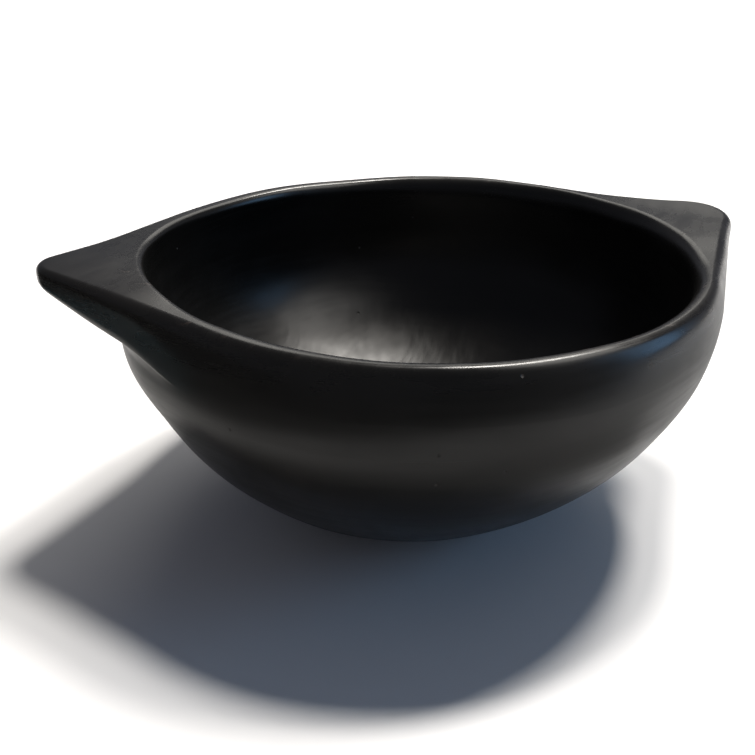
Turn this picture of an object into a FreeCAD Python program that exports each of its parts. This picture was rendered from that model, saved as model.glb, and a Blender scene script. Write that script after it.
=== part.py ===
import FreeCAD, Part
import math
import os

# Black clay bowl with two pointed ears, built by hand from pieces of clay that are luted together.
#
# A slab is pressed into a dish for the foot, the floor and the lower wall.  Rolls of clay raise the
# wall on bevelled joints, and the last and thickest of them is the rim.  Each ear is a flat pointed
# lug let into the rim, with a small roll of clay smoothed into the angle under it.
#
# Sizes are in millimetres.  Z is up, X runs from ear to ear, and the origin is the middle of the
# foot, on the table.

# Bowl
rim_radius = 85.5           # outside radius of the upright band below the rim
pot_height = 80.0           # table to the top of the rim
band_height = 18.0          # upright part of the outside, down from the top of the rim
foot_radius = 26.0          # flat that the bowl stands on
wall_thickness = 8.5        # at the upright band
floor_thickness = 9.5       # clay under the middle of the inside
floor_radius = 14.0         # level patch in the middle of the inside

# Rim
outer_lip_radius = 5.0
crest_width = 1.0           # level strip between the two roundings
inner_lip_radius = 4.5
swell_height = 9.0          # height over which the inside swells from the wall to the rim

# Rolls of clay in the wall, measured up the outside
rim_coil_height = 22.0
upper_coil_height = 13.0
lower_coil_height = 14.0
joint_bevel_deg = 30.0      # the joints rise towards the inside at this angle

# Ears
ear_length = 20.0           # from the outside of the rim to the tip
ear_tip_radius = 14.0       # seen from above
ear_root_thickness = 11.0
ear_tip_thickness = 6.5
ear_under_rounding = 1.5    # lower edge of an ear

# Rolls of clay under the ears
root_coil_leg = 9.0         # along the ear and down the wall, at the middle of the roll
root_coil_end_leg = 2.4     # the same at its two ends
root_coil_span = 0.55       # how much of the ear's root the roll runs along
root_coil_sections = 5
feather = 0.3               # the hollow of the roll runs this far past the faces that it dies out on
bite = 3.0                  # how far the roll runs on into the clay that it is trimmed to

# Sizes that follow from the ones above
band_foot = pot_height - band_height
rim_thickness = outer_lip_radius + crest_width + inner_lip_radius
inside_radius = rim_radius - wall_thickness
bed_radius = rim_radius - outer_lip_radius
ear_reach = rim_radius + ear_length
root_angle = math.acos((rim_radius - ear_tip_radius) / (ear_reach - ear_tip_radius))
far = 2 * ear_reach

ORIGIN = FreeCAD.Vector(0, 0, 0)
AXIS = FreeCAD.Vector(0, 0, 1)


def point(radius, z, angle=0.0):
    """Point at a radius and a height, turned about the axis by an angle in radians."""
    return FreeCAD.Vector(radius * math.cos(angle), radius * math.sin(angle), z)


def line(start, end):
    return Part.LineSegment(start, end).toShape()


def arc(start, middle, end):
    return Part.Arc(start, middle, end).toShape()


def quarter_arc(start, end, corner):
    """Quarter circle that rounds off a square corner between start and end."""
    middle = corner + (start + end - corner * 2) * (1 - math.sqrt(0.5))
    return arc(start, middle, end)


def belly_depth(width, lowest):
    """Half height of the ellipse that is this wide at the band's foot and passes the lowest point."""
    return (band_foot - lowest.z) / math.sqrt(1 - (lowest.x / width) ** 2)


def belly_curve(width, lowest):
    """Stretch of that ellipse, from the lowest point up to the upright band."""
    centre = point(0, band_foot)
    side = point(width, band_foot)
    depth = belly_depth(width, lowest)
    bottom = point(0, band_foot - depth)
    if width >= depth:
        ellipse = Part.Ellipse(side, bottom, centre)
    else:
        ellipse = Part.Ellipse(bottom, side, centre)
    ends = sorted([ellipse.parameter(side), ellipse.parameter(lowest)])
    return Part.ArcOfEllipse(ellipse, ends[0], ends[1]).toShape()


def swell_curve(start, end):
    """Smooth S between two upright faces."""
    half = (start.z + end.z) / 2
    curve = Part.BezierCurve()
    curve.setPoles([start, point(start.x, half), point(end.x, half), end])
    return curve.toShape()


def wall_section():
    """Half section through the whole bowl, in the XZ plane."""
    mouth_radius = rim_radius - rim_thickness
    foot_edge = point(foot_radius, 0)
    band_bottom = point(rim_radius, band_foot)
    outer_lip = point(rim_radius, pot_height - outer_lip_radius)
    crest_outside = point(bed_radius, pot_height)
    crest_inside = point(bed_radius - crest_width, pot_height)
    inner_lip = point(mouth_radius, pot_height - inner_lip_radius)
    swell_top = point(mouth_radius, band_foot + swell_height)
    swell_bottom = point(inside_radius, band_foot)
    floor_edge = point(floor_radius, floor_thickness)
    floor_middle = point(0, floor_thickness)
    return Part.Face(Part.Wire([
        line(ORIGIN, foot_edge),
        belly_curve(rim_radius, foot_edge),
        line(band_bottom, outer_lip),
        quarter_arc(outer_lip, crest_outside, point(rim_radius, pot_height)),
        line(crest_outside, crest_inside),
        quarter_arc(crest_inside, inner_lip, point(mouth_radius, pot_height)),
        line(inner_lip, swell_top),
        swell_curve(swell_top, swell_bottom),
        belly_curve(inside_radius, floor_edge),
        line(floor_edge, floor_middle),
        line(floor_middle, ORIGIN),
    ]))


def outside_radius_at(z):
    """Radius of the outside face at a height."""
    drop = max(band_foot - z, 0.0)
    depth = belly_depth(rim_radius, point(foot_radius, 0))
    return rim_radius * math.sqrt(1 - (drop / depth) ** 2)


def joint_line(height):
    """Two points on a bevelled joint that starts at this height on the outside face."""
    rise = math.tan(math.radians(joint_bevel_deg))
    outside = outside_radius_at(height)
    return point(0, height + outside * rise), point(far, height - (far - outside) * rise)


def level_line(height):
    return point(0, height), point(far, height)


def turned(section):
    return section.revolve(ORIGIN, AXIS, 360)


def wall_pieces():
    """The slab and the rolls of clay above it, from the foot to the rim."""
    rim_joint = pot_height - rim_coil_height
    coil_joint = rim_joint - upper_coil_height
    slab_joint = coil_joint - lower_coil_height
    joints = [joint_line(height) for height in (slab_joint, coil_joint, rim_joint)]
    lines = [level_line(-far)] + joints + [level_line(far)]
    section = wall_section()
    pieces = []
    for lower, upper in zip(lines, lines[1:]):
        strip = Part.Face(Part.makePolygon([lower[0], lower[1], upper[1], upper[0], lower[0]]))
        pieces.append(turned(section.common(strip).Faces[0]))
    return pieces


def ear_underside_at(x):
    """Height of the ear's underside, which rises from the root to the tip."""
    root_x = rim_radius * math.cos(root_angle)
    share = (x - root_x) / (ear_reach - root_x)
    return pot_height - ear_root_thickness + (ear_root_thickness - ear_tip_thickness) * share


def under_ear():
    """All the space below the plane of the ear's underside."""
    face = Part.Face(Part.makePolygon([
        FreeCAD.Vector(0, -far, -far),
        FreeCAD.Vector(far, -far, -far),
        FreeCAD.Vector(far, -far, ear_underside_at(far)),
        FreeCAD.Vector(0, -far, ear_underside_at(0)),
        FreeCAD.Vector(0, -far, -far),
    ]))
    return face.extrude(FreeCAD.Vector(0, 2 * far, 0))


def ear_block():
    """The ear on +X before its edges are rounded, which is also the bed that is cut for it."""
    tip = point(ear_reach, 0)
    tip_side = point(ear_tip_radius, 0, root_angle) + point(ear_reach - ear_tip_radius, 0)
    root = point(rim_radius, 0, root_angle)
    bed = point(bed_radius, 0, root_angle)
    tip_side_2, root_2, bed_2 = [FreeCAD.Vector(p.x, -p.y, p.z) for p in (tip_side, root, bed)]
    outline = Part.Wire([
        arc(bed_2, point(bed_radius, 0), bed),
        line(bed, root),
        line(root, tip_side),
        arc(tip_side, tip, tip_side_2),
        line(tip_side_2, root_2),
        line(root_2, bed_2),
    ])
    column = Part.Face(outline).extrude(AXIS * pot_height)
    return column.cut(under_ear())


def outer_edges(shape, at_top):
    """Edges round the outside of an ear, along its top face or along its underside."""
    found = []
    for edge in shape.Edges:
        middle = edge.valueAt((edge.FirstParameter + edge.LastParameter) / 2)
        outside = math.hypot(middle.x, middle.y) > rim_radius
        upright = abs(edge.Vertexes[0].Z - edge.Vertexes[-1].Z) > ear_tip_thickness / 2
        high = middle.z > pot_height - ear_tip_thickness / 2
        if outside and not upright and high == at_top:
            found.append(edge)
    return found


def ear():
    """The ear on +X, its top edge rounded as the rim is, so that the one runs on into the other."""
    block = ear_block()
    top_rounded = block.makeFillet(outer_lip_radius, outer_edges(block, True))
    room = ear_tip_thickness - outer_lip_radius
    under_rounding = min(ear_under_rounding, room * 0.9)
    return top_rounded.makeFillet(under_rounding, outer_edges(top_rounded, False))


def root_coil():
    """The roll under the ear on +X, hollowed by a finger into a blend from the ear to the wall."""
    spread = root_angle * root_coil_span
    sections = []
    for step in range(root_coil_sections):
        share = 2 * step / (root_coil_sections - 1) - 1
        angle = spread * share
        fade = math.cos(share * math.pi / 2) ** 2
        leg = root_coil_end_leg + (root_coil_leg - root_coil_end_leg) * fade
        corner_z = ear_underside_at(rim_radius * math.cos(angle))
        out_z = ear_underside_at((rim_radius + leg) * math.cos(angle))
        low_radius = outside_radius_at(corner_z - leg)
        hollow = leg * (1 - math.sqrt(0.5))
        out = point(rim_radius + leg, out_z + feather, angle)
        middle = point(rim_radius + hollow, corner_z - hollow, angle)
        low = point(low_radius - feather, corner_z - leg, angle)
        behind_low = point(low_radius - bite, corner_z - leg, angle)
        behind_corner = point(rim_radius - bite, corner_z + bite, angle)
        above_out = point(rim_radius + leg, out_z + bite, angle)
        sections.append(Part.Wire([
            arc(out, middle, low),
            line(low, behind_low),
            line(behind_low, behind_corner),
            line(behind_corner, above_out),
            line(above_out, out),
        ]))
    roll = Part.makeLoft(sections, True)
    return roll.common(under_ear()).cut(turned(wall_section()))


def opposite(shape):
    """The same piece on the other side of the bowl."""
    turned_shape = shape.copy()
    turned_shape.rotate(ORIGIN, AXIS, 180)
    return turned_shape


def pieces():
    """Every piece of clay, by name."""
    slab, lower_coil, upper_coil, rim_coil = wall_pieces()
    right_ear = ear()
    right_roll = root_coil()
    bed = ear_block()
    return {
        "base_slab": slab,
        "wall_coil_lower": lower_coil,
        "wall_coil_upper": upper_coil,
        "rim_coil": rim_coil.cut(bed).cut(opposite(bed)),
        "ear_right": right_ear,
        "ear_left": opposite(right_ear),
        "ear_root_coil_right": right_roll,
        "ear_root_coil_left": opposite(right_roll),
    }


os.makedirs("parts", exist_ok=True)
for name, shape in pieces().items():
    solid = shape.Solids[0]
    solid.exportStep("parts/" + name + ".step")
    print(name, len(shape.Solids), solid.isValid(), round(solid.Volume / 1000, 2), "cm3")
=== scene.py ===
import math

import bpy
import numpy as np
from mathutils import Matrix, Vector


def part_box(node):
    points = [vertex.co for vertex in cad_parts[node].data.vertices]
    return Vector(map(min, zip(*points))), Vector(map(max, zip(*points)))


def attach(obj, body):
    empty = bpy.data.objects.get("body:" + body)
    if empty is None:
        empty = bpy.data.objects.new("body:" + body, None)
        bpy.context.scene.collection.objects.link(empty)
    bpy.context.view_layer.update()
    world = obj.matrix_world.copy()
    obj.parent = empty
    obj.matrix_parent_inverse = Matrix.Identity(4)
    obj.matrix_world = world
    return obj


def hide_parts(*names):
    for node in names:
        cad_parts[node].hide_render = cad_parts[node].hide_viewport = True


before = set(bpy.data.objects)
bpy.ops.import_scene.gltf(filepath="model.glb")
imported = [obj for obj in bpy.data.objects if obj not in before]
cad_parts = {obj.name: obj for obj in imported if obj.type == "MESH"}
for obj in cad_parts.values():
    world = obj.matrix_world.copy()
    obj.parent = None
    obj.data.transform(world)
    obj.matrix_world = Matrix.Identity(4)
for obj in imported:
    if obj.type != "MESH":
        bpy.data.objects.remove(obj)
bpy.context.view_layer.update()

# A hand-built bowl of burnished black clay.  The skin of the whole bowl is worked out once, as rows of
# points from the middle of the foot, up the outside, over the rim and the ears, and down the inside
# to the middle of the floor.  Each piece of clay is then a stretch of that skin, closed by the joint
# faces that it is luted on.  Sizes are in millimetres until a mesh is made.
MM = 0.001

# Sizes that the frame gives
rim_low, rim_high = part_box("rim_coil")
RIM_RADIUS = (rim_high.x - rim_low.x) / 2 / MM
POT_HEIGHT = rim_high.z / MM
RIM_JOINT = rim_low.z / MM
COIL_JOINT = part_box("wall_coil_upper")[0].z / MM
SLAB_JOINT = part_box("wall_coil_lower")[0].z / MM

# Bowl
BAND_HEIGHT = 18.0                 # upright part of the outside, down from the top of the rim
BAND_FOOT = POT_HEIGHT - BAND_HEIGHT
FOOT_RADIUS = 25.5
WALL = 8.5
FLOOR = 9.5                        # clay under the middle of the inside
FLOOR_RADIUS = 14.0
SLIM = 1.6                         # how far the belly falls short of an ellipse at half its height
LOW_SLIM = 4.6                     # and how much of that moves from the upper to the lower belly
BEVEL = math.radians(30.0)         # slope of the luted joints

# Rim, rounded down the outside in a tall quarter ellipse and over the inside in a small one
OUTER_LIP = 4.4
MOUTH_RADIUS = 76.9
SWELL = 9.0                        # height over which the inside swells from the wall to the rim

# Ears, each with its own hand-made shape.  A flank is hollowed to a radius; ccw is the flank that is
# met first going round against the clock from the tip.
EARS = {
    "right": dict(axis=math.radians(2.8), reach=104.6, tip=19.0, hollow_ccw=203.0, hollow_cw=3000.0,
                  lift=1.7),
    "left": dict(axis=math.radians(175.8), reach=105.0, tip=10.3, hollow_ccw=585.0, hollow_cw=357.0,
                 lift=1.7),
}
EAR_LENGTH = 19.5                  # nominal length, which the tapers are measured by

# Sizes that differ from the left side of the bowl to the right, as (left, right)
ROOT_THICKNESS = (14.6, 11.2)      # an ear where it leaves the rim
TIP_THICKNESS = (6.4, 6.0)
TIP_ROUNDING = (2.2, 3.2)          # top edge of an ear at its tip
BLEND_OUT = (10.5, 12.3)           # the blend under an ear reaches this far along the ear
BLEND_DOWN = (7.2, 10.0)           # and this far down the wall
UNDER_ROUND_OUT = (3.0, 4.0)       # lower edge of an ear, along the ear
UNDER_ROUND_UP = (2.6, 3.0)        # and up its side
FLANK_THINNER = (2.0, 1.6)         # an ear is this much thinner where its flanks die out into the rim
OUTER_DROP = (5.0, 8.0)            # height of the outer rounding of the rim beside the ears
INNER_LIP = (1.9, 3.3)             # inner rounding of the rim, in from the crest
INNER_DROP = (2.2, 7.5)            # and down

# Ears towards the ends of their flanks
FLANK_REACH = 14.0                 # the thinning fades as the ear comes to stand out by this much
FLANK_TIGHTER = 0.65               # share by which the blend under it is tighter there
LEAST_EDGE = 3.2                   # least of an ear's edge that is left below its top rounding

# Rim at the front
FRONT_DROP = 7.0                   # its outer rounding is this much taller
FRONT_INNER_LIP = 1.7              # its inner rounding is this much wider
FRONT_DIP = 1.6                    # its crest is this much lower
FRONT_ROOM = 4.5                   # the clay of its rounding reaches this much further down the wall
FRONT_SHORTER = 4.05               # and the blend below that is this much shorter
FRONT_FADE = 4.0                   # none of this is left where an ear stands out so far
LEAST_CREST = 0.2                  # least of the crest that stays level

# Out of round and out of level by hand; a wave is (how many in a full turn, its cosine part, its sine part)
WAVES = ((2, 0.0, -0.35), (3, -1.0, 0.1), (4, 0.1, -0.3))
LOW_WAVES = ((2, -2.6, 0.5), (3, 2.0, -0.3))
LIFT_START = 0.75                  # an ear starts to lift at this share of the rim's radius
RIM_SADDLE = 0.4
RIM_TILT = (-0.7, 0.1)
FOOT_SHIFT = (-1.9, 3.0)
SHOULDER_BEARING = math.radians(198.0)
SHOULDER = (2.1, 57.0, 9.0)        # under the left ear the wall stands out by a bell: size, height, spread
FRONT_BEARING = math.radians(-105.0)
FRONT_FULLER = (1.2, 65.0, 8.0)    # the front stands out so under the rim
FRONT_SLIMMER = (-2.2, 42.0, 11.0)  # and falls back so at the belly
LUMPS = 10                         # waves of the gentle lumps left by fingers
LUMP_SIZES = (22.0, 60.0)          # shortest and longest of them
LUMP_SLOPE = 0.0028                # how high each is for its length
LUMPS_FADE = 6.0                   # the foot stays flat up to about this height

# How finely each stretch of the skin is divided, in rows from the foot to the floor
ROWS = {
    "foot": 8, "slab_outside": 34, "lower_outside": 14, "upper_outside": 13, "rim_outside": 8,
    "blend": 10, "underside": 14, "lower_edge": 6, "side": 5, "upper_edge": 12, "top": 16,
    "crest": 4, "lip": 12, "rim_inside": 14, "upper_inside": 12, "lower_inside": 12,
    "slab_inside": 32, "floor": 8,
}
EAR_COLUMNS = 64                   # from the tip of an ear to its root, on one side
GAP_COLUMNS = 150                  # from one ear to the other
SAME_PLACE = 0.01                  # points this near become one

INSIDE_RADIUS = RIM_RADIUS - WALL
BED_RADIUS = RIM_RADIUS - OUTER_LIP  # each ear is let into the rim as far as this
TURN = 2 * math.pi


def steps(count):
    """Even steps from 0 to 1, both ends included."""
    return np.linspace(0.0, 1.0, count + 1)


def eased(t):
    """Rises from 0 to 1 and is level at both ends: 3 t squared less 2 t cubed."""
    t = np.clip(t, 0.0, 1.0)
    return t * t * (3 - 2 * t)


# ---------------------------------------------------------------- ears seen from above

def flank_circles(ear, hollow):
    """Centre of the tip circle and of the hollow circle that touches the rim and the tip from outside.

    The hollow circle's centre is where two circles about the bowl's axis and the tip's centre cross,
    each as large as the hollow radius plus the radius that it touches.
    """
    tip_x = ear["reach"] - ear["tip"]
    to_rim = RIM_RADIUS + hollow
    to_tip = ear["tip"] + hollow
    x = (to_rim ** 2 - to_tip ** 2 + tip_x ** 2) / (2 * tip_x)
    return tip_x, x, math.sqrt(to_rim ** 2 - x ** 2)


def root_bearing(ear, hollow):
    """Bearing from the ear's axis at which the flank leaves the rim."""
    _, x, y = flank_circles(ear, hollow)
    return math.atan2(y, x)


def flank_radius(bearing, ear, hollow):
    """Distance from the bowl's axis to the ear's edge: the tip circle, then the hollow one, then the rim.

    Along a bearing, a circle of radius c about (x, y) is met at p plus or minus the root of
    p squared less (x squared + y squared - c squared), where p is (x, y) measured along the bearing.
    """
    tip_x, x, y = flank_circles(ear, hollow)
    share = ear["tip"] / (ear["tip"] + hollow)
    tip_bearing = math.atan2(y * share, tip_x + (x - tip_x) * share)
    along = x * np.cos(bearing) + y * np.sin(bearing)
    hollow_radius = along - np.sqrt(np.maximum(along ** 2 - (x * x + y * y - hollow ** 2), 0.0))
    along_tip = tip_x * np.cos(bearing)
    tip_radius = along_tip + np.sqrt(np.maximum(along_tip ** 2 - (tip_x ** 2 - ear["tip"] ** 2), 0.0))
    beyond_tip = np.where(bearing < root_bearing(ear, hollow), hollow_radius, RIM_RADIUS)
    return np.where(bearing < tip_bearing, tip_radius, beyond_tip)


def from_axis(bearings, ear):
    """Bearing from the ear's axis, between minus half a turn and half a turn."""
    return (bearings - ear["axis"] + math.pi) % TURN - math.pi


def outline_radius(bearings):
    """Distance from the bowl's axis to the outermost edge at each bearing, ears included."""
    radius = np.full_like(bearings, RIM_RADIUS)
    for ear in EARS.values():
        away = from_axis(bearings, ear)
        ccw = flank_radius(np.abs(away), ear, ear["hollow_ccw"])
        cw = flank_radius(np.abs(away), ear, ear["hollow_cw"])
        edge = np.where(away > 0, ccw, cw)
        radius = np.maximum(radius, np.where(np.abs(away) > math.pi / 2, RIM_RADIUS, edge))
    return radius


def bearing_columns():
    """Bearings of the columns, once round from the right ear's clockwise root, closer together at the tips.

    Also gives the first and last column of each quarter: right ear, back, left ear and front.
    """
    crowded = 0.5 * steps(EAR_COLUMNS) + 0.5 * steps(EAR_COLUMNS) ** 1.6
    runs = []
    for ear in (EARS["right"], EARS["left"]):
        start = ear["axis"] - root_bearing(ear, ear["hollow_cw"])
        end = ear["axis"] + root_bearing(ear, ear["hollow_ccw"])
        up_to_tip = ear["axis"] - (ear["axis"] - start) * crowded[::-1]
        from_tip = ear["axis"] + (end - ear["axis"]) * crowded
        runs.append(np.concatenate([up_to_tip, from_tip[1:]]))
    right, left = runs
    back = right[-1] + (left[0] - right[-1]) * steps(GAP_COLUMNS)
    front = left[-1] + (right[0] + TURN - left[-1]) * steps(GAP_COLUMNS)
    bearings = np.concatenate([right, back[1:], left[1:], front[1:]])
    ends = np.cumsum([0, len(right) - 1, GAP_COLUMNS, len(left) - 1, GAP_COLUMNS])
    quarters = {name: (ends[i], ends[i + 1]) for i, name in enumerate(("right", "back", "left", "front"))}
    return bearings, quarters


# ---------------------------------------------------------------- section through the clay

OUTSIDE_DEPTH = BAND_FOOT / math.sqrt(1 - (FOOT_RADIUS / RIM_RADIUS) ** 2)
INSIDE_DEPTH = (BAND_FOOT - FLOOR) / math.sqrt(1 - (FLOOR_RADIUS / INSIDE_RADIUS) ** 2)


def outside_radius(z):
    """Ellipse about the axis below the upright band, made slimmer low down by two sine waves of height."""
    share = np.clip(z / BAND_FOOT, 0.0, 1.0)
    ellipse = RIM_RADIUS * np.sqrt(1 - ((1 - share) * BAND_FOOT / OUTSIDE_DEPTH) ** 2)
    slimmer = SLIM * np.sin(math.pi * share) ** 2
    lower = 2 * LOW_SLIM * np.sin(TURN * share) * share * (1 - share)
    return ellipse - slimmer - lower


def inside_radius(z):
    """Ellipse about the axis up to the band's foot, then an eased swell in to the mouth."""
    drop = np.clip(BAND_FOOT - z, 0.0, None) / INSIDE_DEPTH
    swell = (INSIDE_RADIUS - MOUTH_RADIUS) * eased((z - BAND_FOOT) / SWELL)
    return INSIDE_RADIUS * np.sqrt(1 - drop ** 2) - swell


def inside_of_joint(z_outside):
    """Height at which a bevelled joint that starts at this height outside comes out on the inside."""
    z = z_outside
    for _ in range(30):
        z = z_outside + float(outside_radius(z_outside) - inside_radius(z)) * math.tan(BEVEL)
    return z


def down_ellipse(z_start, z_end, depth, count):
    """Heights between two levels, evenly spaced in angle round an ellipse of this depth."""
    start = math.asin((BAND_FOOT - z_start) / depth)
    end = math.asin((BAND_FOOT - z_end) / depth)
    return BAND_FOOT - depth * np.sin(start + (end - start) * steps(count))


def section(bearings):
    """Every stretch of the skin as (radius, height) at each row and bearing.

    Under an ear the wall turns out in a quarter ellipse, runs along the ear's sloping underside, and
    turns up round its edge; where there is no ear all of that lies on the wall itself.
    """
    to_right = eased(0.5 + 0.5 * np.cos(bearings))
    wide = np.ones_like(bearings)

    def side_to_side(sizes):
        return sizes[0] + (sizes[1] - sizes[0]) * to_right

    radius = outline_radius(bearings)
    out = radius - RIM_RADIUS
    nudge = 1e-4
    slope = (outline_radius(bearings + nudge) - outline_radius(bearings - nudge)) / (2 * nudge) / radius
    slope = np.where(out > 1e-6, slope, 0.0)
    share = np.clip(out, 0.0, None) / EAR_LENGTH
    tip_rounding = side_to_side(TIP_ROUNDING)
    front = eased(-np.sin(bearings)) * np.clip(1 - out / FRONT_FADE, 0.0, 1.0)
    rounding_out = (OUTER_LIP + (tip_rounding - OUTER_LIP) * np.sqrt(share)) * np.sqrt(1 + slope ** 2)
    near_root = (1 - out / np.sqrt(out ** 2 + FLANK_REACH ** 2)) * (1 - front)
    thinner = side_to_side(FLANK_THINNER) * near_root
    root_thickness = side_to_side(ROOT_THICKNESS) - thinner + FRONT_ROOM * front
    root_drop = side_to_side(OUTER_DROP) + FRONT_DROP * front
    root_drop = np.minimum(root_drop, root_thickness - LEAST_EDGE)
    drop = root_drop + (tip_rounding - root_drop) * np.sqrt(share)
    thickness = root_thickness + (side_to_side(TIP_THICKNESS) - root_thickness) * share
    blend_reach, under_reach = side_to_side(BLEND_OUT), side_to_side(UNDER_ROUND_OUT)
    fullness = out / np.sqrt(out ** 2 + (blend_reach + under_reach) ** 2)
    blend_out = blend_reach * fullness
    under_out = under_reach * fullness
    under_up = side_to_side(UNDER_ROUND_UP)
    under_z = POT_HEIGHT - root_thickness
    edge_z = POT_HEIGHT - thickness
    climb = (edge_z - under_z) / np.maximum(out - under_out, 1e-9)
    side_foot = edge_z + under_up
    side_top = POT_HEIGHT - drop
    found = {}

    def stretch(name, r, z):
        found[name] = np.stack(np.broadcast_arrays(r * wide, z * wide), axis=-1)

    def rows(name):
        return steps(ROWS[name])[:, None]

    def quarter(name):
        return rows(name) * math.pi / 2

    def outside(name, z):
        stretch(name, outside_radius(z)[:, None], z[:, None])

    def inside(name, z):
        stretch(name, inside_radius(z)[:, None], z[:, None])

    stretch("foot", FOOT_RADIUS * rows("foot"), 0.0)
    for name, low, high in (("slab_outside", 0.0, SLAB_JOINT), ("lower_outside", SLAB_JOINT, COIL_JOINT),
                            ("upper_outside", COIL_JOINT, RIM_JOINT)):
        outside(name, down_ellipse(low, high, OUTSIDE_DEPTH, ROWS[name]))
    blend_down = side_to_side(BLEND_DOWN) * (1 - FLANK_TIGHTER * near_root) - FRONT_SHORTER * front
    wall_top = under_z - blend_down
    heights = RIM_JOINT + (wall_top - RIM_JOINT) * rows("rim_outside")
    stretch("rim_outside", outside_radius(heights), heights)

    turned = quarter("blend")
    along = blend_out * (1 - np.cos(turned))
    wall_radius = outside_radius(wall_top)
    lean = (RIM_RADIUS - wall_radius) * eased(rows("blend"))
    stretch("blend", wall_radius + lean + along, wall_top + blend_down * np.sin(turned) + climb * along)
    along = blend_out + (out - under_out - blend_out) * rows("underside")
    stretch("underside", RIM_RADIUS + along, under_z + climb * along)
    turned = quarter("lower_edge")
    stretch("lower_edge", radius - under_out + under_out * np.sin(turned),
            edge_z + under_up * (1 - np.cos(turned)))
    stretch("side", radius, side_foot + (side_top - side_foot) * rows("side"))
    turned = quarter("upper_edge")
    stretch("upper_edge", radius - rounding_out * (1 - np.cos(turned)), side_top + drop * np.sin(turned))
    level_start = radius - rounding_out
    stretch("top", level_start + (BED_RADIUS - level_start) * rows("top"), POT_HEIGHT)
    inner_lip = side_to_side(INNER_LIP) + FRONT_INNER_LIP * front
    inner_lip = np.minimum(inner_lip, BED_RADIUS - MOUTH_RADIUS - LEAST_CREST)
    stretch("crest", BED_RADIUS + (MOUTH_RADIUS + inner_lip - BED_RADIUS) * rows("crest"), POT_HEIGHT)
    turned = quarter("lip")
    inner_drop = side_to_side(INNER_DROP)
    stretch("lip", MOUTH_RADIUS + inner_lip * (1 - np.sin(turned)),
            POT_HEIGHT - inner_drop * (1 - np.cos(turned)))

    rim_in, upper_in, lower_in = [inside_of_joint(z) for z in (RIM_JOINT, COIL_JOINT, SLAB_JOINT)]
    lip_foot = POT_HEIGHT - inner_drop
    heights = lip_foot + (rim_in - lip_foot) * rows("rim_inside")
    stretch("rim_inside", inside_radius(heights), heights)
    inside("upper_inside", rim_in + (upper_in - rim_in) * steps(ROWS["upper_inside"]))
    inside("lower_inside", upper_in + (lower_in - upper_in) * steps(ROWS["lower_inside"]))
    inside("slab_inside", down_ellipse(lower_in, FLOOR, INSIDE_DEPTH, ROWS["slab_inside"]))
    stretch("floor", FLOOR_RADIUS * (1 - rows("floor")), FLOOR)

    for joint, outer, inner in (("rim_joint", "rim_outside", "rim_inside"),
                                ("coil_joint", "upper_outside", "upper_inside"),
                                ("slab_joint", "lower_outside", "lower_inside")):
        start, end = found[outer][0], found[inner][-1]
        found[joint] = start + (end - start) * steps(3)[:, None, None]
    stretch("behind_blend", wall_radius + lean, wall_top + blend_down * np.sin(quarter("blend")))
    corner = np.stack([RIM_RADIUS * wide, under_z], axis=-1)
    bed_foot = np.stack([BED_RADIUS * wide, under_z], axis=-1)
    bed_top = np.stack([BED_RADIUS * wide, POT_HEIGHT * wide], axis=-1)
    found["over_blend"] = np.stack([found["blend"][-1], corner])
    found["bed_floor"] = np.stack([corner, bed_foot])
    found["bed_back"] = bed_foot + (bed_top - bed_foot) * steps(3)[:, None, None]
    return found


# ---------------------------------------------------------------- made by hand, so never quite true

def hand_waves(bearings, waves):
    """Sum of cosine and sine waves round the bowl."""
    return sum(c * np.cos(n * bearings) + s * np.sin(n * bearings) for n, c, s in waves)


def bell(z, size, middle, spread):
    """Bell curve of height: its size, times e to the minus square of the distance over the spread."""
    return size * np.exp(-((z - middle) / spread) ** 2)


def shaped_by_hand(flat, bearings):
    """Puts (radius, height) points at their bearings, a little out of round, out of level and uneven.

    The radius gains waves that grow with height and others that are strongest half way up.  The wall
    stands out in a soft shoulder under the left ear, and at the front it is fuller under the rim and
    slimmer at the belly, each by a bell curve of height.  The rim dips at the front and gains a saddle
    and a tilt, each ear lifts with the square of the distance along it, and the foot sits a little off
    centre.
    """
    radius, z = flat[..., 0], flat[..., 1]
    height = np.clip(z / POT_HEIGHT, 0.0, 1.2)
    reach = np.clip(radius / RIM_RADIUS, 0.0, 1.0)
    belly = np.sin(math.pi * np.clip(height, 0.0, 1.0)) ** 2
    to_front = eased(np.cos(bearings - FRONT_BEARING))
    to_shoulder = np.clip(np.cos(bearings - SHOULDER_BEARING), 0.0, 1.0) ** 3
    z = z - FRONT_DIP * to_front ** 2 * np.clip(height, 0.0, 1.0) ** 4
    out = hand_waves(bearings, WAVES) * height + hand_waves(bearings, LOW_WAVES) * belly
    out = out + bell(z, *SHOULDER) * to_shoulder
    out = out + (bell(z, *FRONT_FULLER) + bell(z, *FRONT_SLIMMER)) * to_front
    radius = radius + out * reach
    saddle = RIM_SADDLE * np.cos(2 * bearings)
    tilt = RIM_TILT[0] * np.cos(bearings) + RIM_TILT[1] * np.sin(bearings)
    lifted = z + (saddle + tilt) * height * reach
    for ear in EARS.values():
        start = LIFT_START * RIM_RADIUS
        along = (flat[..., 0] * np.cos(from_axis(bearings, ear)) - start) / (ear["reach"] - start)
        lifted = lifted + ear["lift"] * np.clip(along, 0.0, 1.2) ** 2
    off_centre = np.clip(1 - height, 0.0, 1.0)
    x = radius * np.cos(bearings) + FOOT_SHIFT[0] * off_centre
    y = radius * np.sin(bearings) + FOOT_SHIFT[1] * off_centre
    return uneven(np.stack([x, y, lifted], axis=-1))


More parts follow.
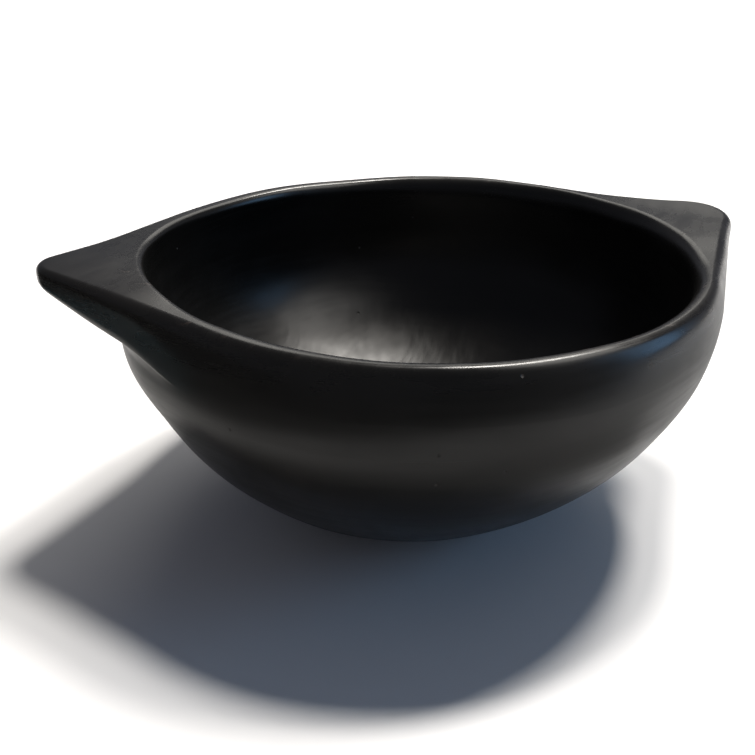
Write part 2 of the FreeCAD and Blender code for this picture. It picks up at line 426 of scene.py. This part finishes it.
def uneven(points):
    """Adds the gentle lumps that fingers leave: a few long sine waves through space, along each axis."""
    rng = np.random.default_rng(7)
    moved = points.copy()
    fade = np.clip(points[..., 2:3] / LUMPS_FADE, 0.0, 1.0)
    for _ in range(LUMPS):
        direction = rng.normal(size=3)
        direction /= np.linalg.norm(direction)
        push = rng.normal(size=3)
        push /= np.linalg.norm(push)
        wavelength = rng.uniform(*LUMP_SIZES)
        phase = rng.uniform(0.0, TURN)
        wave = np.sin(points @ direction * TURN / wavelength + phase)
        moved = moved + fade * wave[..., None] * push * LUMP_SLOPE * wavelength
    return moved


# ---------------------------------------------------------------- pieces of clay

def sheet_quads(first, rows, columns):
    """Corners of the quads of a sheet whose points are numbered row by row from the first."""
    number = first + np.arange(rows * columns).reshape(rows, columns)
    low_left, low_right = number[:-1, :-1], number[:-1, 1:]
    high_left, high_right = number[1:, :-1], number[1:, 1:]
    return np.stack([low_left, low_right, high_right, high_left], axis=-1).reshape(-1, 4)


def merged(points):
    """First point at each place, and the number of every point's place, to a hundredth of a millimetre."""
    keys = np.round(points / SAME_PLACE).astype(np.int64)
    _, first, place = np.unique(keys, axis=0, return_index=True, return_inverse=True)
    return first, place.reshape(-1)


def single(faces):
    """Which faces have no twin lying back to back with them."""
    _, which, times = np.unique(np.sort(faces, axis=1), axis=0, return_inverse=True, return_counts=True)
    return times[which.reshape(-1)] == 1


class Clay:
    """One piece of clay: sheets of points that share their borders, and flat end faces."""

    def __init__(self, node):
        self.name = node + "_clay"
        self.node = node
        self.points = []
        self.quads = []
        self.skin = []
        self.ends = []
        self.count = 0

    def add_sheet(self, points, skin):
        rows, columns = points.shape[:2]
        quads = sheet_quads(self.count, rows, columns)
        self.points.append(points.reshape(-1, 3))
        self.quads.append(quads)
        self.skin.append(np.full(len(quads), skin))
        self.count += rows * columns

    def add_end(self, loop):
        self.points.append(loop)
        self.ends.append(self.count + np.arange(len(loop)))
        self.count += len(loop)

    def close(self):
        """Merges points that coincide, and drops the faces and corners that this folds up."""
        points = np.concatenate(self.points)
        first, number = merged(points)
        self.vertices = points[first]
        quads = number[np.concatenate(self.quads)]
        skin = np.concatenate(self.skin)
        repeated = quads == np.roll(quads, -1, axis=1)
        whole = repeated.sum(axis=1) == 0
        folded = repeated.sum(axis=1) == 1
        fours, threes = quads[whole], quads[folded][~repeated[folded]].reshape(-1, 3)
        keep_fours, keep_threes = single(fours), single(threes)
        self.faces = fours[keep_fours].tolist() + threes[keep_threes].tolist()
        self.face_is_skin = np.concatenate([skin[whole][keep_fours], skin[folded][keep_threes]])
        for end in self.ends:
            loop = number[end]
            self.faces.append(loop[loop != np.roll(loop, -1)].tolist())
        self.face_is_skin = np.concatenate([self.face_is_skin, np.zeros(len(self.ends), bool)])


def make_mesh(piece):
    """The piece's closed mesh, in metres, on an object of the same name."""
    mesh = bpy.data.meshes.new(piece.name)
    mesh.from_pydata((piece.vertices * MM).tolist(), [], piece.faces, shade_flat=False)
    mesh.update()
    thing = bpy.data.objects.new(piece.name, mesh)
    bpy.context.collection.objects.link(thing)
    return thing


def read(collection, name, width, kind):
    """One property of every member of a mesh collection, as an array with a row for each."""
    values = np.empty(len(collection) * width, kind)
    collection.foreach_get(name, values)
    return values.reshape(len(collection), width) if width > 1 else values


def shade_as_one(pieces, things):
    """Gives the skin one normal at each point, the mean by area of all the skin faces that meet there.

    The pieces are burnished together, so the mean is taken over the pieces on both sides of a joint,
    and the joints don't show.  Hidden faces keep their own flat normals.
    """
    _, place = merged(np.concatenate([piece.vertices for piece in pieces]))
    places = np.split(place, np.cumsum([len(piece.vertices) for piece in pieces])[:-1])
    total = np.zeros((place.max() + 1, 3))
    corners = []
    for piece, thing, at in zip(pieces, things, places):
        faces = thing.data.polygons
        normal = read(faces, "normal", 3, np.float32).astype(float)
        area = read(faces, "area", 1, np.float32)
        face_of_corner = np.repeat(np.arange(len(faces)), read(faces, "loop_total", 1, np.int32))
        corner_at = at[read(thing.data.loops, "vertex_index", 1, np.int32)]
        seen = piece.face_is_skin[face_of_corner]
        np.add.at(total, corner_at[seen], (normal * area[:, None])[face_of_corner[seen]])
        corners.append((normal[face_of_corner], corner_at, seen))
    total /= np.maximum(np.linalg.norm(total, axis=1, keepdims=True), 1e-20)
    for thing, (own, corner_at, seen) in zip(things, corners):
        thing.data.normals_split_custom_set(np.where(seen[:, None], total[corner_at], own).tolist())


bearings, quarters = bearing_columns()
shaped = {name: shaped_by_hand(flat, bearings) for name, flat in section(bearings).items()}
for points in shaped.values():
    points[:, -1] = points[:, 0]


def columns_of(quarter, name):
    """A stretch of the skin over one quarter of the bowl."""
    first, last = quarters[quarter]
    return shaped[name][:, first:last + 1]


def ear_section(quarter, column):
    """Loop round the cut between the rim and the root of an ear, which its two pieces share."""
    rows = [columns_of(quarter, name)[:, column] for name in ("lower_edge", "side", "upper_edge")]
    rows.append(columns_of(quarter, "bed_back")[::-1, column])
    return np.concatenate(rows)


base_slab = Clay("base_slab")
for name in ("foot", "slab_outside"):
    base_slab.add_sheet(shaped[name], True)
base_slab.add_sheet(shaped["slab_joint"], False)
for name in ("slab_inside", "floor"):
    base_slab.add_sheet(shaped[name], True)

wall_coil_lower = Clay("wall_coil_lower")
wall_coil_lower.add_sheet(shaped["lower_outside"], True)
wall_coil_lower.add_sheet(shaped["coil_joint"], False)
wall_coil_lower.add_sheet(shaped["lower_inside"], True)
wall_coil_lower.add_sheet(shaped["slab_joint"][::-1], False)

wall_coil_upper = Clay("wall_coil_upper")
wall_coil_upper.add_sheet(shaped["upper_outside"], True)
wall_coil_upper.add_sheet(shaped["rim_joint"], False)
wall_coil_upper.add_sheet(shaped["upper_inside"], True)
wall_coil_upper.add_sheet(shaped["coil_joint"][::-1], False)

rim_coil = Clay("rim_coil")
for name in ("rim_outside", "crest", "lip", "rim_inside"):
    rim_coil.add_sheet(shaped[name], True)
rim_coil.add_sheet(shaped["rim_joint"][::-1], False)
for quarter in ("back", "front"):
    for name in ("blend", "underside", "lower_edge", "side", "upper_edge", "top"):
        rim_coil.add_sheet(columns_of(quarter, name), True)
for quarter in ("right", "left"):
    for name in ("behind_blend", "bed_floor", "bed_back"):
        rim_coil.add_sheet(columns_of(quarter, name), False)
    rim_coil.add_end(ear_section(quarter, 0)[::-1])
    rim_coil.add_end(ear_section(quarter, -1))

pieces = [base_slab, wall_coil_lower, wall_coil_upper, rim_coil]
for side in ("left", "right"):
    ear = Clay("ear_" + side)
    for name in ("underside", "lower_edge", "side", "upper_edge", "top"):
        ear.add_sheet(columns_of(side, name), True)
    for name in ("bed_back", "bed_floor", "over_blend"):
        ear.add_sheet(columns_of(side, name)[::-1], False)
    ear.add_end(ear_section(side, 0))
    ear.add_end(ear_section(side, -1)[::-1])
    root_coil = Clay("ear_root_coil_" + side)
    root_coil.add_sheet(columns_of(side, "blend"), True)
    root_coil.add_sheet(columns_of(side, "over_blend"), False)
    root_coil.add_sheet(columns_of(side, "behind_blend")[::-1], False)
    pieces += [ear, root_coil]

for piece in pieces:
    piece.close()
things = [make_mesh(piece) for piece in pieces]
shade_as_one(pieces, things)


# ---------------------------------------------------------------- burnished clay

class Nodes:
    """Short calls for building a node tree; every input is a value or another node's output."""

    def __init__(self, tree):
        self.tree = tree

    def add(self, kind, settings=None, **inputs):
        node = self.tree.nodes.new(kind)
        for name, value in (settings or {}).items():
            setattr(node, name, value)
        for name, value in inputs.items():
            self.set(node, name.replace("_", " "), value)
        return node

    def set(self, node, name, value):
        socket = node.inputs[int(name[1:])] if name[0] == "i" and name[1:].isdigit() else node.inputs[name]
        if isinstance(value, bpy.types.NodeSocket):
            self.tree.links.new(value, socket)
        else:
            socket.default_value = value

    def math(self, operation, first, second=0.0, third=0.0):
        node = self.add("ShaderNodeMath", {"operation": operation}, i0=first, i1=second, i2=third)
        return node.outputs[0]

    def times(self, *values):
        """Product of two or more values."""
        product = values[0]
        for value in values[1:]:
            product = self.math("MULTIPLY", product, value)
        return product

    def layers(self, start, *layers):
        """A start and then layers, each a value and how much of it is added."""
        total = start
        for value, amount in layers:
            total = self.math("MULTIPLY_ADD", value, amount, total)
        return total

    def between(self, value, low, high, least=0.0, most=1.0):
        """Eased step of a value from one level to another."""
        node = self.add("ShaderNodeMapRange", {"interpolation_type": "SMOOTHSTEP"}, Value=value)
        for name, level in (("From Min", low), ("From Max", high), ("To Min", least), ("To Max", most)):
            self.set(node, name, level)
        return node.outputs["Result"]

    def stretched(self, vector, scale):
        return self.add("ShaderNodeMapping", {}, Vector=vector, Scale=scale).outputs["Vector"]

    def noise(self, vector, scale=1.0, detail=2.0, roughness=0.5):
        node = self.add("ShaderNodeTexNoise", {}, Vector=vector, Scale=scale, Detail=detail,
                        Roughness=roughness)
        return node.outputs["Fac"]

    def mix(self, factor, first, second):
        node = self.add("ShaderNodeMix", {"data_type": "RGBA"}, i0=factor, i6=first, i7=second)
        return node.outputs[2]


# Depths of the relief, in metres
STONE_FACETS = 7e-5
STREAKS = 3e-6
FLOOR_SWIRLS = 5e-4
FLOOR_STROKES = 4e-5
HAND_MARKS = 1.6e-4
GRAIN = 2e-6
PIT_DEPTH = 1.2e-4


def burnished_clay():
    """Near-black fired clay rubbed with a stone: streaks round the walls, swirls on the floor."""
    material = bpy.data.materials.new("burnished_black_clay")
    material.use_nodes = True
    tree = material.node_tree
    tree.nodes.clear()
    n = Nodes(tree)
    place = n.add("ShaderNodeTexCoord").outputs["Object"]
    split = n.add("ShaderNodeSeparateXYZ", {}, Vector=place).outputs
    normal = n.add("ShaderNodeNewGeometry").outputs["Normal"]
    upward = n.add("ShaderNodeSeparateXYZ", {}, Vector=normal).outputs["Z"]
    off_axis = n.math("SQRT", n.layers(n.times(split["X"], split["X"]), (split["Y"], split["Y"])))
    level = n.between(n.math("ABSOLUTE", upward), 0.55, 0.92)
    steep = n.math("SUBTRACT", 1.0, level)
    floor_inside = n.times(level, n.between(split["Z"], 0.062, 0.040))
    rim_polish = n.between(split["Z"], 0.064, 0.076)
    below_rim = n.between(split["Z"], 0.072, 0.058, 0.12, 1.0)

    wander = n.add("ShaderNodeTexNoise", {}, Vector=place, Scale=28.0, Detail=1.0).outputs["Color"]
    pull = {"operation": "MULTIPLY_ADD"}
    path = n.add("ShaderNodeVectorMath", pull, i0=wander, i1=(0.012, 0.012, 0.006), i2=place).outputs[0]
    across = (0.0, 0.0, math.radians(-52.0))
    aslant = n.add("ShaderNodeMapping", {}, Vector=path, Rotation=across).outputs["Vector"]

    round_walls = n.noise(n.stretched(path, (34.0, 34.0, 620.0)), detail=3.0, roughness=0.6)
    facets = n.noise(n.stretched(path, (22.0, 22.0, 150.0)), detail=1.0)
    across_floor = n.noise(n.stretched(aslant, (70.0, 330.0, 80.0)), detail=3.0, roughness=0.6)
    swirls = n.noise(n.stretched(aslant, (48.0, 120.0, 60.0)))
    streaks = n.layers(n.times(round_walls, steep), (across_floor, level))
    patches = n.noise(place, scale=38.0, detail=4.0, roughness=0.6)
    smoke = n.noise(place, scale=14.0)
    grain = n.noise(place, scale=1900.0, roughness=0.7)
    hand_marks = n.noise(place, scale=52.0, detail=1.0)

    cells = n.add("ShaderNodeTexVoronoi", {"feature": "F1"}, Vector=place, Scale=260.0).outputs
    chance = n.add("ShaderNodeSeparateColor", {}, Color=cells["Color"]).outputs[0]
    pit = n.times(n.between(cells["Distance"], 0.16, 0.06), n.between(chance, 0.983, 0.989))
    crest = n.times(n.between(split["Z"], 0.0755, 0.078), n.between(upward, 0.55, 0.85),
                    n.between(off_axis, 0.085, 0.081))
    scuffs = n.noise(n.stretched(place, (150.0, 420.0, 420.0)), detail=3.0, roughness=0.65)
    worn = n.times(crest, n.between(scuffs, 0.60, 0.68), n.between(smoke, 0.44, 0.56))

    black = (0.0042, 0.0041, 0.0038, 1.0)
    brown = (0.0082, 0.0072, 0.0064, 1.0)
    ash = (0.020, 0.0185, 0.017, 1.0)
    dust = (0.030, 0.026, 0.023, 1.0)
    bare = (0.066, 0.043, 0.034, 1.0)
    tone = n.mix(n.between(smoke, 0.35, 0.68), black, brown)
    tone = n.mix(n.between(streaks, 0.50, 0.78, 0.0, 0.06), tone, ash)
    tone = n.mix(n.times(pit, 0.5), tone, dust)
    tone = n.mix(n.times(worn, 0.35), tone, bare)

    rough = n.layers(0.33, (n.between(streaks, 0.35, 0.7), 0.05), (n.between(patches, 0.4, 0.65), 0.06),
                     (rim_polish, -0.10), (pit, 0.35), (worn, 0.16))

    stone_marks = n.layers(n.times(facets, STONE_FACETS), (streaks, STREAKS))
    height = n.layers(n.times(stone_marks, below_rim), (n.times(swirls, floor_inside), FLOOR_SWIRLS),
                      (n.times(across_floor, floor_inside), FLOOR_STROKES), (hand_marks, HAND_MARKS),
                      (grain, GRAIN), (pit, -PIT_DEPTH))
    bump = n.add("ShaderNodeBump", {}, Height=height, Strength=1.0, Distance=1.0)

    shader = n.add("ShaderNodeBsdfPrincipled", {}, Roughness=rough, Normal=bump.outputs["Normal"])
    n.set(shader, "Base Color", tone)
    n.set(shader, "IOR", 1.42)
    n.set(shader, "Specular IOR Level", 0.5)
    output = n.add("ShaderNodeOutputMaterial")
    tree.links.new(shader.outputs["BSDF"], output.inputs["Surface"])
    return material


clay = burnished_clay()
for piece, thing in zip(pieces, things):
    thing.data.materials.append(clay)
    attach(thing, "root")
    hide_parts(piece.node)


# ---------------------------------------------------------------- floor, light and camera

def plain(name, colour, roughness):
    """Matt material with a faint change of tone."""
    material = bpy.data.materials.new(name)
    material.use_nodes = True
    tree = material.node_tree
    n = Nodes(tree)
    place = n.add("ShaderNodeTexCoord").outputs["Object"]
    darker = tuple(0.985 * part for part in colour[:3]) + (1.0,)
    tone = n.mix(n.noise(place, scale=3.0), darker, colour)
    shader = tree.nodes["Principled BSDF"]
    n.set(shader, "Base Color", tone)
    n.set(shader, "Roughness", roughness)
    return material


def sheet_of(name, points, material):
    """A stage piece from a grid of points in millimetres."""
    rows, columns = points.shape[:2]
    mesh = bpy.data.meshes.new(name)
    mesh.from_pydata((points.reshape(-1, 3) * MM).tolist(), [], sheet_quads(0, rows, columns).tolist())
    mesh.materials.append(material)
    thing = bpy.data.objects.new(name, mesh)
    bpy.context.collection.objects.link(thing)
    return thing


across, deep = np.meshgrid(np.linspace(-3000.0, 3000.0, 3), np.linspace(-3000.0, 3000.0, 3))
sheet_of("floor", np.stack([across, deep, 0 * across - 0.05], axis=-1),
         plain("pale_floor", (0.86, 0.86, 0.87, 1.0), 0.85))


def arc_card(name, start, end, radii, low, high, lean, colour):
    """Card that stands in an arc round the bowl, leaning outward, and shows only as a reflection.

    Its radius eases from the first value to the second over 45 degrees, from a bearing of -172.
    """
    arc, rise = np.meshgrid(np.linspace(start, end, 61), np.linspace(0.0, 1.0, 5))
    away = radii[0] + (radii[1] - radii[0]) * eased((arc + 172.0) / 45.0) + lean * rise
    arc = np.radians(arc)
    place = np.stack([away * np.cos(arc), away * np.sin(arc), low + (high - low) * rise], axis=-1)
    card = sheet_of(name, place, plain(name, colour, 0.9))
    card.visible_camera = False
    card.visible_diffuse = False
    card.visible_shadow = False
    card.visible_transmission = False
    card.visible_volume_scatter = False


# name, from and to this bearing, radius at the left and further round, low, high, lean, colour
arc_card("dark_card", -215.0, -38.0, (228.0, 325.0), 1.0, 150.0, 90.0, (0.010, 0.010, 0.011, 1.0))
arc_card("blue_card", -198.0, -174.0, (168.0, 168.0), 32.0, 46.0, 3.0, (0.038, 0.108, 0.140, 1.0))
# painted shade: a dark grey sheet just over the floor in front, seen only in reflections, stands in for the
# bowl's shadow on the floor
arc_card("painted_floor_shadow_card", -165.0, -35.0, (88.0, 88.0), 0.9, 1.2, 50.0, (0.20, 0.20, 0.20, 1.0))
# painted shade: a grey sheet just over the floor round the bowl, seen only in reflections, makes the lit
# floor reflect darker than it is
arc_card("painted_dim_floor_card", -215.0, 60.0, (92.0, 92.0), 0.6, 0.9, 250.0, (0.58, 0.58, 0.58, 1.0))


def hang(name, data, towards, distance):
    """Puts a light in a direction from the middle of the bowl and turns it to face the bowl."""
    thing = bpy.data.objects.new(name, data)
    bpy.context.collection.objects.link(thing)
    direction = Vector(towards).normalized()
    thing.location = direction * distance * MM + Vector((0.0, 0.0, 0.05))
    thing.rotation_euler = direction.to_track_quat("Z", "Y").to_euler()
    return thing


def far_light(name, towards, strength, spread, colour):
    """Even light from far away, whose spread in degrees sets how soft its shadows are."""
    data = bpy.data.lights.new(name, "SUN")
    data.energy = strength
    data.angle = math.radians(spread)
    data.color = colour
    return hang(name, data, towards, 900.0)


def soft_light(name, towards, distance, width, height, watts, colour):
    """Rectangular soft box."""
    data = bpy.data.lights.new(name, "AREA")
    data.shape = "RECTANGLE"
    data.size = width * MM
    data.size_y = height * MM
    data.energy = watts
    data.color = colour
    return hang(name, data, towards, distance)


def toward(bearing, elevation):
    """Direction by its bearing and its height above level, in degrees."""
    bearing, elevation = math.radians(bearing), math.radians(elevation)
    level = math.cos(elevation)
    return (level * math.cos(bearing), level * math.sin(bearing), math.sin(elevation))


# name, direction, strength, spread in degrees, colour
far_light("key", toward(43.0, 71.0), 2.3, 9.0, (1.0, 0.96, 0.90))
far_light("key_beside", toward(25.5, 61.0), 2.3, 9.0, (1.0, 0.96, 0.90))
# name, direction, distance, width, height, watts, colour
soft_light("window", toward(-24.0, 17.0), 700.0, 230.0, 300.0, 0.68, (0.30, 0.60, 1.0))
soft_light("wall_behind", toward(66.0, 40.0), 800.0, 620.0, 420.0, 1.75, (1.0, 0.97, 0.90))
overhead = soft_light("overhead", toward(-30.0, 54.0), 700.0, 330.0, 330.0, 1.7, (1.0, 0.97, 0.92))
overhead.visible_diffuse = False

world = bpy.data.worlds.new("studio")
bpy.context.scene.world = world
world.use_nodes = True
n = Nodes(world.node_tree)
looking = n.add("ShaderNodeTexCoord").outputs["Generated"]
sky = n.add("ShaderNodeSeparateXYZ", {}, Vector=looking).outputs["Z"]
glow = n.mix(n.between(sky, 0.0, 0.6), (0.16, 0.165, 0.19, 1.0), (0.085, 0.09, 0.11, 1.0))
seen = n.add("ShaderNodeLightPath").outputs["Is Camera Ray"]
backdrop = world.node_tree.nodes["Background"]
n.set(backdrop, "Color", n.mix(seen, glow, (1.0, 1.0, 1.0, 1.0)))
n.set(backdrop, "Strength", 1.0)

# Camera, by where it looks, from how far and from which side
AIM = Vector((-11.7, 3.4, 37.6))
DISTANCE = 314.1
AZIMUTH = math.radians(-16.15)
ELEVATION = math.radians(25.06)
ROLL = math.radians(0.6)
LENS = 48.74
SENSOR = 36.0
outward = Vector((math.sin(AZIMUTH) * math.cos(ELEVATION), -math.cos(AZIMUTH) * math.cos(ELEVATION),
                  math.sin(ELEVATION)))
level_right = Vector((0.0, 0.0, 1.0)).cross(outward).normalized()
upright = outward.cross(level_right)
up = upright * math.cos(ROLL) + level_right * math.sin(ROLL)
right = up.cross(outward)
camera_data = bpy.data.cameras.new("camera")
camera_data.lens = LENS
camera_data.sensor_width = SENSOR
camera_data.clip_start = 0.01
camera = bpy.data.objects.new("camera", camera_data)
bpy.context.collection.objects.link(camera)
turned_to = Matrix((right, up, outward)).transposed().to_4x4()
camera.matrix_world = Matrix.Translation((AIM + outward * DISTANCE) * MM) @ turned_to
bpy.context.scene.camera = camera

view = bpy.context.scene.view_settings
view.view_transform = "Standard"
